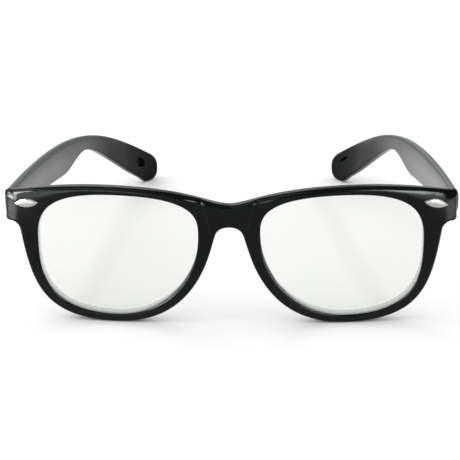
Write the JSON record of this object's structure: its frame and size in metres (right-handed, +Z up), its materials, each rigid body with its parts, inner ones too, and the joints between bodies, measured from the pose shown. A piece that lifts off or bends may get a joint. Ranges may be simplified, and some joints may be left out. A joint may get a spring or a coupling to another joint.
{
  "type": "costume glasses",
  "caption": "Costume glasses with a glossy black moulded front, clear lenses, silver oval studs and black temples that fold on small metal hinges.",
  "frame": {"origin": "on the surface that the glasses stand on, in the middle of their width and depth", "axes": "+X to the right seen from the front, +Y from the front towards the temple tips, +Z up"},
  "size_m": [0.1464, 0.1478, 0.0466],
  "materials": {
    "black_plastic": "gloss",
    "temple_plastic": "satin",
    "clear_lens": "clear, faint grey",
    "stud_metal": "polished",
    "hinge_metal": "satin",
    "screw_metal": "bright"
  },
  "bodies": {
    "front": {"front_frame": "black_plastic", "lens_left": "clear_lens", "lens_right": "clear_lens", "front_stud_left": "stud_metal", "front_stud_right": "stud_metal", "front_hinge_leaf_left": "hinge_metal", "front_hinge_leaf_right": "hinge_metal", "hinge_screw_left": "screw_metal", "hinge_screw_right": "screw_metal"},
    "left_temple": {"temple_left": "temple_plastic", "temple_hinge_leaf_left": "hinge_metal"},
    "right_temple": {"temple_right": "temple_plastic", "temple_hinge_leaf_right": "hinge_metal"}
  },
  "joints": [
    {"name": "left_temple_fold", "type": "hinge", "parent": "front", "child": "left_temple", "pos_m": [-0.0679, -0.0632, 0.0392], "axis": [0, 0, -1], "range_deg": [0, 77]},
    {"name": "right_temple_fold", "type": "hinge", "parent": "front", "child": "right_temple", "pos_m": [0.0679, -0.0632, 0.0392], "axis": [0, 0, 1], "range_deg": [0, 68]}
  ]
}
